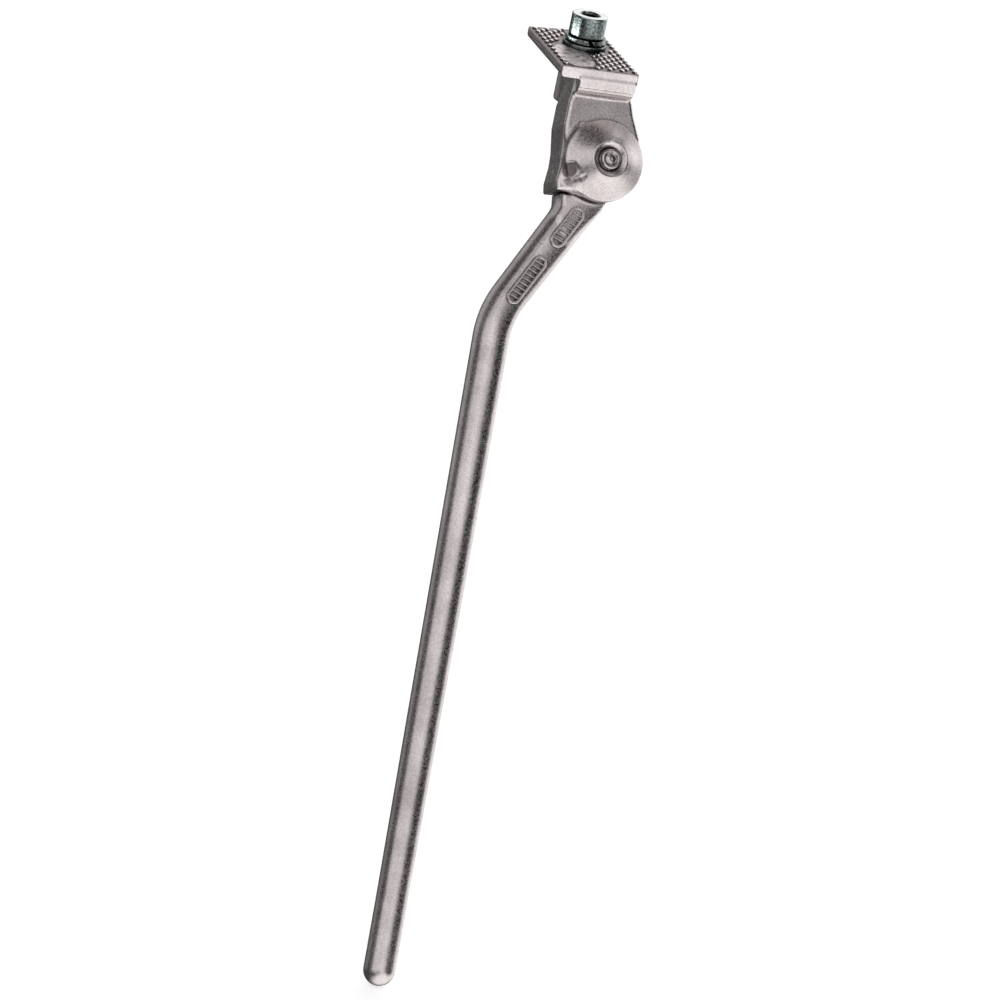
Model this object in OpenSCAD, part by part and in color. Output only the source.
// Centre-mount bicycle kickstand with one leg: a studded clamp plate and cast housing in one piece,
// a leg that swings on a riveted pin, a spring-loaded detent plunger and the M8 clamp screw.
// X points to the rear of the bicycle, Y to its right-hand side and Z up.
// The origin is on the screw's axis, in the plane of the clamp plate's washer seat.

/* [Clamp plate] */
// Length of the plate along the bicycle
plate_len = 28.5; // [26:0.5:34]
// Width of the plate across the bicycle at its front edge
plate_front_w = 44.8; // [42:0.2:52]
// Width of the plate at its rear edge, where the chain stays are further apart
plate_rear_w = 50.2; // [46:0.2:58]
// Thickness of the plate
plate_t = 4.3; // [3.5:0.1:6]
// Distance from the screw's axis forward to the front edge
plate_front_x = 16.4; // [14:0.2:20]
// How far the plate's middle lies to the left of the screw
plate_side_shift = 5.4; // [4:0.2:7]
// Height of the grip studs
stud_h = 0.6; // [0.3:0.1:1]
// Side of a square grip stud
stud_w = 1.2; // [0.8:0.1:1.4]

/* [Housing] */
// Tilt of the leg's plane outwards from the vertical, in degrees
leg_tilt = 25.4; // [20:0.2:30]
// Turn of the leg's plane about the vertical, in degrees
leg_yaw = 2; // [0:0.5:5]
// Radius of the pivot disc on each cheek
disc_r = 14.6; // [13.6:0.1:15]
// Distance from the leg's middle plane to the outer face of the front cheek
front_cheek_z = 9.6; // [8.8:0.1:10.4]
// Distance from the leg's middle plane to the outer face of the back cheek
back_cheek_z = 10; // [9:0.1:11]
// Distance from the leg's middle plane to the rim of the domed disc
disc_rim_z = 11; // [10.4:0.1:12]
// Diameter of the threaded boss under the plate
boss_d = 14.4; // [12:0.2:17]

/* [Pivot] */
// Diameter of the rivet's shank
rivet_d = 8; // [7:0.5:8]
// Radial running clearance of the leg on the rivet
run_gap = 0.06; // [0.02:0.01:0.1]
// Radius of the leg's eye
eye_r = 10.4; // [10:0.1:10.6]
// Thickness of the leg's eye between the cheeks
eye_t = 10; // [9:0.5:10]

/* [Leg] */
// Forward lean of the neck in the leg's plane, in degrees
neck_angle = 36.2; // [34:0.2:38]
// Forward lean of the straight lower leg, in degrees
shank_angle = 7.85; // [6:0.05:9]
// Radius of the bend between them
bend_r = 34; // [28:1:40]
// Radius of the leg where the neck leaves the head
neck_top_r = 7.3; // [7:0.1:7.5]
// Radius of the leg at the bend
bend_bar_r = 6.6; // [6:0.1:7]
// Radius of the leg at its foot
foot_r = 5.65; // [5.2:0.05:6]
// Length of the cylindrical foot end
foot_len = 26; // [20:1:32]
// Length from the bend's corner to the centre of the rounded tip
shank_len = 234.4; // [200:0.2:260]

/* [Clamp screw] */
// Length of the screw under its head
screw_len = 25; // [20:5:25]
// Thickness of the flat washer
flat_washer_t = 1.6; // [1.4:0.1:2]
// Height of the lock washer
lock_washer_t = 2.2; // [2:0.1:2.4]

/* [Hidden] */
$fn = 64;
eps = 0.05;

// Pivot: the point where the rivet's axis crosses the leg's middle plane
pivot = [3.5, -25.6, -35.7];

// Clearances
side_gap = 0.3;
slot_half = eye_t / 2 + side_gap;
wall_gap = 0.6;
stop_gap = 0.3;
rivet_fit = 0.02;
plunger_fit = 0.05;

// Plate outline
plate_rear_x = plate_len - plate_front_x;
front_near_y = -plate_side_shift - plate_front_w / 2;
front_far_y = -plate_side_shift + plate_front_w / 2;
rear_near_y = -plate_side_shift - plate_rear_w / 2;
rear_far_y = -plate_side_shift + plate_rear_w / 2;
near_edge_angle = atan2(rear_near_y - front_near_y, plate_len);
corner_cut = 0.8;
front_chamfer = 0.9;
stud_pitch_x = 2.3;
stud_pitch_y = 4;
stud_margin = 1;
first_stud_x = -plate_front_x + stud_margin + stud_w / 2 + 0.3;
seat_r = 9.4;

// Smooth patch of the plate's top, with no studs
patch_front_x = -plate_front_x + 3.6;
patch_rear_x = -1;
patch_near_y = -26.5;

// Stepped flange under the plate's near edge, as distances inward from the edge and down
flange_from_front = 7.4;
flange_from_rear = 0.6;
flange_inset = 0.4;
flange_step_t = 2.4;
flange_small_step_t = 1.4;
flange_cove = 4.6;
flange_cove_t = 3.6;
flange_reach = 12;
flange_sink = 0.3;
casting_sink = 0.6;

// Housing outline in the leg's plane
casting_skew = 6;
horn_x = -16.3;
horn_y = -11.6;
cavity_x = -(eye_r + wall_gap);
slot_top_y = 8.8;
boss_bottom = -21.2;
disc_front_x = -8;

// Room at the rear of both cheeks for the leg's shoulder when the leg is folded
relief_r = disc_r + eps;
relief_half = 7.6;
relief_top_y = 8.4;

// Dome on the front disc
dome_top_z = 16.8;
recess_r = 6.2;
recess_z = 15.6;
rivet_tip_z = 17.5;
rivet_tip_r = 3.55;
rivet_head_r = 6.5;
rivet_head_t = 2.2;

// Leg head and neck in the leg's plane
shoulder_r = disc_r + 0.35;
shoulder_half_t = 5.9;
flat_z = 6.1;
bend_corner = [-34.8, -56.3];
bend_angle = neck_angle - shank_angle;
bend_tangent = bend_r * tan(bend_angle / 2);
neck_start_back = 55;
heel_x = -13.6;
heel_y = horn_y - stop_gap;

// Detent
plunger_r = 4;
plunger_lift = 0.3;
notch_r = 4.3;
notch_depth = 1.2;
fold_angle = 100;
plunger_shoulder_y = eye_r + plunger_lift + 9;
spring_top_y = 31;
guide_r = 2.1;
guide_len = 5.5;
spring_r = 2.95;
wire_r = 0.45;
spring_turns = 6;
spring_steps = 20;
wire_sides = 8;

// Screw
screw_r = 4;
thread_pitch = 1.25;
thread_depth = 0.68;
thread_fit = 0.05;
head_r = 6.5;
head_h = 8;
socket_af = 6;
socket_depth = 4.6;
head_bottom = flat_washer_t + lock_washer_t;
washer_r = 8;
washer_hole_r = 4.2;
lock_r = 7.4;
lock_hole_r = 4.1;
lock_gap = 14;

aluminium = [0.66, 0.64, 0.64];
zinc = [0.74, 0.78, 0.79];
steel = [0.45, 0.45, 0.46];

// Puts a shape drawn in the leg's frame in its place: x to the rear, y up in the leg's plane, z out along the rivet
module in_leg_frame() {
    translate(pivot)
        rotate([90 - leg_tilt, 0, leg_yaw])
            children();
}

// ---------- housing ----------

module plate_outline() {
    polygon([
        [-plate_front_x, front_near_y + corner_cut],
        [-plate_front_x + corner_cut, front_near_y],
        [plate_rear_x - corner_cut, rear_near_y],
        [plate_rear_x, rear_near_y + 2 * corner_cut],
        [plate_rear_x, rear_far_y - corner_cut],
        [plate_rear_x - corner_cut, rear_far_y],
        [-plate_front_x + corner_cut, front_far_y],
        [-plate_front_x, front_far_y - corner_cut]
    ]);
}

// Half-width of the plate at a distance along the bicycle
function plate_half_w(x) =
    (plate_front_w + (plate_rear_w - plate_front_w) * (x + plate_front_x) / plate_len) / 2;

// True where a grip stud stands: inside the margin, clear of the washer seat and of the smooth patch in front
function has_stud(x, y) =
    abs(y + plate_side_shift) < plate_half_w(x) - stud_margin - stud_w / 2
    && norm([x, y]) > seat_r + stud_w / 2
    && !(x > patch_front_x && x < patch_rear_x && y > patch_near_y && y < 0);

module stud_field() {
    rows = floor(plate_rear_w / stud_pitch_y) + 1;
    cols = floor((plate_len - 2 * stud_margin - stud_w) / stud_pitch_x);
    for (i = [0:cols])
        for (j = [-rows:rows]) {
            x = first_stud_x + i * stud_pitch_x;
            y = -plate_side_shift + (j + (i % 2) / 2) * stud_pitch_y;
            if (has_stud(x, y))
                translate([x, y])
                    rotate(45)
                        square(stud_w, center = true);
        }
}

module clamp_plate() {
    difference() {
        translate([0, 0, -plate_t])
            linear_extrude(plate_t)
                plate_outline();
        // Chamfer along the lower front edge
        translate([-plate_front_x, 0, -plate_t])
            rotate([0, 45, 0])
                cube([front_chamfer * sqrt(2), 2 * plate_rear_w, front_chamfer * sqrt(2)], center = true);
    }
    translate([0, 0, -eps])
        linear_extrude(stud_h + eps)
            stud_field();
}

// Stepped and coved flange that carries the plate's near edge on the front cheek
module near_flange() {
    length = plate_len - flange_from_front - flange_from_rear;
    under = -plate_t;
    step = under - flange_step_t;
    translate([-plate_front_x + flange_from_front, front_near_y + flange_from_front * tan(near_edge_angle), 0])
        rotate([90, 0, 90 + near_edge_angle])
            linear_extrude(length)
                polygon([
                    [flange_reach, under + flange_sink],
                    [flange_inset, under + flange_sink],
                    [flange_inset, step],
                    [flange_inset + 0.6, step],
                    [flange_inset + 0.8, step - flange_small_step_t],
                    [flange_inset + 2.2, step - 2.7],
                    [flange_cove, step - flange_cove_t],
                    [flange_reach, step - flange_cove_t]
                ]);
}

// Side outline of the casting in the leg's plane, from the plate down to the horn that stops the leg
module casting_outline() {
    polygon([
        [-9, 50],
        [-10.2, 28],
        [-12.8, 20.5],
        [-14.2, 12],
        [-14.2, 3],
        [-14.7, -1.5],
        [horn_x, -8],
        [horn_x, horn_y + 1.6],
        [horn_x + 1.4, horn_y],
        [-8, horn_y],
        [0, 0],
        [disc_r, 0],
        [disc_r, 9],
        [12.1, 17],
        [10.7, 24],
        [7.4, 29],
        [7.4, 50]
    ]);
}

module casting_body() {
    intersection() {
        rotate([0, -casting_skew, 0])
            linear_extrude(60, center = true)
                casting_outline();
        translate([-40, -40, -back_cheek_z])
            cube([80, 100, back_cheek_z + front_cheek_z]);
    }
    // Both cheeks end in a disc round the rivet; its front part stays inside the casting's wall
    intersection() {
        translate([0, 0, -back_cheek_z])
            cylinder(r = disc_r, h = back_cheek_z + front_cheek_z);
        translate([disc_front_x, -disc_r, -back_cheek_z])
            cube([disc_r - disc_front_x, 2 * disc_r, back_cheek_z + front_cheek_z]);
    }
}

// Domed disc with the dished recess round the rivet
module dome() {
    rotate_extrude($fn = 96)
        polygon([
            [0, slot_half],
            [disc_r, slot_half],
            [disc_r, disc_rim_z - 0.7],
            [disc_r - 0.7, disc_rim_z],
            [10.8, 14],
            [8, 16],
            [recess_r + 0.5, dome_top_z],
            [recess_r, dome_top_z - 0.1],
            [recess_r - 1, recess_z + 0.3],
            [rivet_tip_r + 0.9, recess_z],
            [0, recess_z]
        ]);
}

module cavity() {
    // Slot for the leg's eye, open below and to the rear
    translate([0, 0, -slot_half])
        cylinder(r = -cavity_x, h = 2 * slot_half, $fn = 96);
    translate([0, 0, -slot_half])
        linear_extrude(2 * slot_half)
            polygon([
                [cavity_x, 0],
                [cavity_x, -60],
                [70, -60],
                [70, slot_top_y],
                [7.5, slot_top_y],
                [0, 0]
            ]);
    difference() {
        translate([0, relief_top_y - 60, -relief_half])
            cube([70, 60, 2 * relief_half]);
        translate([0, 0, -relief_half - 1])
            cylinder(r = relief_r, h = 2 * relief_half + 2);
    }
    // Bore for the detent plunger and its spring
    rotate([-90, 0, 0])
        cylinder(r = plunger_r + plunger_fit, h = spring_top_y);
    // Bore for the rivet
    translate([0, 0, -back_cheek_z - 1])
        cylinder(d = rivet_d + 2 * rivet_fit, h = back_cheek_z + rivet_tip_z + 2);
}

// Thread as a row of rings, drawn down from z = 0
module thread(radius, length) {
    turns = floor(length / thread_pitch);
    rotate_extrude()
        polygon(concat(
            [[0, 0]],
            [for (i = [0:turns - 1], k = [0:1])
                [radius - (k == 0 ? 0 : thread_depth), -(i + k / 2) * thread_pitch]],
            [[radius - thread_depth, -length], [0, -length]]
        ));
}

module housing() {
    color(aluminium)
        difference() {
            union() {
                clamp_plate();
                near_flange();
                translate([0, 0, boss_bottom])
                    cylinder(d = boss_d, h = -boss_bottom - plate_t + eps);
                difference() {
                    in_leg_frame() casting_body();
                    translate([-60, -60, -plate_t + casting_sink])
                        cube([120, 120, 60]);
                }
                in_leg_frame() dome();
            }
            in_leg_frame() cavity();
            translate([0, 0, head_bottom])
                thread(screw_r + thread_fit, screw_len + 0.6);
            translate([0, 0, boss_bottom - 1])
                cylinder(r = screw_r - thread_depth + thread_fit, h = 3);
        }
}

// ---------- leg ----------

// Moves to a point in the leg's plane and turns Z to run down the leg at a forward lean
module down_the_leg(point, lean) {
    translate([point[0], point[1], 0])
        rotate([90, 0, -lean])
            children();
}

// Raised slot-shaped rim with cross ribs inside, lying along the neck
module cartouche(from_corner, length, width) {
    rim = 0.7;
    ribs = floor((length - width) / 1.9);
    translate([bend_corner[0], bend_corner[1], flat_z - eps])
        rotate(90 - neck_angle)
            translate([from_corner, 0, 0]) {
                linear_extrude(0.5 + eps)
                    difference() {
                        slot_outline(length, width);
                        translate([rim, 0])
                            slot_outline(length - 2 * rim, width - 2 * rim);
                    }
                for (i = [0:ribs])
                    translate([width / 2 + i * (length - width) / ribs - 0.3, -width / 2 + rim / 2, 0])
                        cube([0.6, width - rim, 0.3 + eps]);
            }
}

// Slot with round ends, from x = 0 to its length
module slot_outline(length, width) {
    r = width / 2;
    polygon(concat(
        [for (a = [-90:15:90]) [length - r + r * cos(a), r * sin(a)]],
        [for (a = [90:15:270]) [r + r * cos(a), r * sin(a)]]
    ));
}

// Thin head that runs between the cheeks
module leg_eye() {
    translate([0, 0, -eye_t / 2])
        cylinder(r = eye_r, h = eye_t, $fn = 96);
    translate([0, 0, -eye_t / 2])
        linear_extrude(eye_t)
            polygon([[-eye_r, 0], [cavity_x + 0.3, heel_y], [-12, -18], [1.6, -18], [7.6, -6.5]]);
}

// Takes away the round space in which the cheeks' discs sit
module clear_of_discs() {
    difference() {
        children();
        translate([0, 0, -20])
            cylinder(r = shoulder_r, h = 40);
    }
}

// Thick shoulder below the cheeks, with the heel that meets the horn
module leg_shoulder() {
    clear_of_discs()
        translate([0, 0, -shoulder_half_t])
            linear_extrude(2 * shoulder_half_t)
                polygon([
                    [heel_x, heel_y - 0.8],
                    [heel_x + 0.8, heel_y],
                    [-8, heel_y],
                    [-8, -10],
                    [3, -10],
                    [3.8, -14.4],
                    [-0.2, -19.5],
                    [-6, -25],
                    [-15, -20],
                    [heel_x, -16.6]
                ]);
}

// Round bar of the neck with its flattened front
module leg_neck() {
    length = neck_start_back - bend_tangent;
    clear_of_discs()
        difference() {
            down_the_leg(bend_corner, neck_angle)
                translate([0, 0, -neck_start_back])
                    difference() {
                        cylinder(r1 = neck_top_r, r2 = bend_bar_r, h = length);
                        translate([-20, flat_z, -1])
                            cube([40, 20, length - 1]);
                    }
            // Room under the horn
            translate([-40, heel_y - eps, -20])
                cube([32, 40, 40]);
        }
}

// Bend, a little thinner than the bars at its two ends and let into both
module leg_bend() {
    overlap = 1;
    down_the_leg(bend_corner, neck_angle)
        translate([bend_r, 0, -bend_tangent])
            rotate([90, overlap, 180])
                rotate_extrude(angle = bend_angle + 2 * overlap)
                    translate([bend_r, 0])
                        circle(r = bend_bar_r - eps);
}

// Straight lower leg with its cylindrical foot end and rounded tip
module leg_shank() {
    down_the_leg(bend_corner, shank_angle)
        rotate_extrude()
            polygon(concat(
                [[0, bend_tangent], [bend_bar_r, bend_tangent], [foot_r, shank_len - foot_len]],
                [for (a = [0:10:80]) [foot_r * cos(a), shank_len + foot_r * sin(a)]],
                [[0, shank_len + foot_r]]
            ));
}

module leg() {
    color(aluminium)
        in_leg_frame()
            difference() {
                union() {
                    leg_eye();
                    leg_shoulder();
                    leg_neck();
                    leg_bend();
                    leg_shank();
                    cartouche(10, 20, 4.4);
                    cartouche(33.5, 14, 4.8);
                }
                translate([0, 0, -eye_t])
                    cylinder(r = rivet_d / 2 + run_gap, h = 2 * eye_t);
                // Detent notches for the stand position and the folded position
                for (turn = [0, -fold_angle])
                    rotate(turn)
                        translate([0, eye_r - notch_depth + notch_r, -eye_t])
                            cylinder(r = notch_r, h = 2 * eye_t);
            }
}

// ---------- pivot and detent ----------

module pivot_rivet() {
    color(steel)
        in_leg_frame()
            rotate_extrude()
                polygon([
                    [0, -back_cheek_z - rivet_head_t],
                    [rivet_head_r - 1.6, -back_cheek_z - rivet_head_t],
                    [rivet_head_r - 0.4, -back_cheek_z - rivet_head_t + 0.8],
                    [rivet_head_r, -back_cheek_z],
                    [rivet_d / 2, -back_cheek_z],
                    [rivet_d / 2, recess_z - 0.2],
                    [rivet_tip_r, recess_z + 0.2],
                    [rivet_tip_r, rivet_tip_z - 0.5],
                    [rivet_tip_r - 0.4, rivet_tip_z],
                    [rivet_tip_r - 0.9, rivet_tip_z],
                    [1.6, rivet_tip_z - 0.5],
                    [0.5, rivet_tip_z - 0.7],
                    [0, rivet_tip_z - 1]
                ]);
}

module detent_plunger() {
    tip_y = eye_r + plunger_lift;
    color(steel)
        in_leg_frame()
            rotate([-90, 0, 0]) {
                translate([0, 0, tip_y + plunger_r])
                    sphere(r = plunger_r);
                translate([0, 0, tip_y + plunger_r])
                    cylinder(r = plunger_r, h = plunger_shoulder_y - tip_y - plunger_r);
                translate([0, 0, plunger_shoulder_y - eps])
                    cylinder(r = guide_r, h = guide_len);
            }
}

// Point on the spring's centre line, where t runs from 0 to 1 up its length
function coil_point(t, bottom, top) =
    let (a = 360 * spring_turns * t,
         ends = 1 / spring_turns,
         rise = t < ends ? 0 : t > 1 - ends ? 1 : (t - ends) / (1 - 2 * ends),
         closed = 2 * wire_r + 0.06,
         low = bottom + closed * min(t / ends, 1),
         high = top - closed * min((1 - t) / ends, 1))
    [spring_r * cos(a), spring_r * sin(a), low + (high - low) * rise];

module detent_spring() {
    bottom = plunger_shoulder_y + wire_r;
    top = spring_top_y - wire_r;
    rings = spring_turns * spring_steps;
    points = [
        for (i = [0:rings])
            let (p = coil_point(i / rings, bottom, top), a = 360 * i / spring_steps)
            for (k = [0:wire_sides - 1])
                let (b = 360 * k / wire_sides)
                p + wire_r * [cos(b) * cos(a), cos(b) * sin(a), sin(b)]
    ];
    sides = [
        for (i = [0:rings - 1], k = [0:wire_sides - 1])
            let (a = i * wire_sides, n = (k + 1) % wire_sides)
            [a + k, a + wire_sides + k, a + wire_sides + n, a + n]
    ];
    start_cap = [for (k = [0:wire_sides - 1]) k];
    end_cap = [for (k = [wire_sides - 1:-1:0]) rings * wire_sides + k];
    color(steel)
        in_leg_frame()
            rotate([-90, 0, 0])
                polyhedron(points, concat(sides, [start_cap, end_cap]));
}

// ---------- clamp screw and washers ----------

module clamp_screw() {
    color(zinc)
        difference() {
            union() {
                translate([0, 0, head_bottom])
                    thread(screw_r, screw_len);
                translate([0, 0, head_bottom])
                    rotate_extrude()
                        polygon([
                            [0, 0],
                            [head_r, 0],
                            [head_r, head_h - 0.5],
                            [head_r - 0.5, head_h],
                            [0, head_h]
                        ]);
            }
            translate([0, 0, head_bottom + head_h - socket_depth])
                cylinder(d = socket_af / cos(30), h = socket_depth + 1, $fn = 6);
            translate([0, 0, head_bottom + head_h - 0.4])
                cylinder(d1 = socket_af, d2 = socket_af + 1.6, h = 0.45);
        }
}

module lock_washer() {
    color(zinc)
        translate([0, 0, flat_washer_t])
            rotate(-90 + lock_gap / 2)
                rotate_extrude(angle = 360 - lock_gap)
                    polygon([
                        [lock_hole_r, 0],
                        [lock_r, 0],
                        [lock_r, lock_washer_t],
                        [lock_hole_r, lock_washer_t]
                    ]);
}

module flat_washer() {
    color(zinc)
        rotate_extrude()
            polygon([
                [washer_hole_r, 0],
                [washer_r, 0],
                [washer_r, flat_washer_t - 0.3],
                [washer_r - 0.3, flat_washer_t],
                [washer_hole_r, flat_washer_t]
            ]);
}

housing();
leg();
pivot_rivet();
detent_plunger();
detent_spring();
clamp_screw();
lock_washer();
flat_washer();
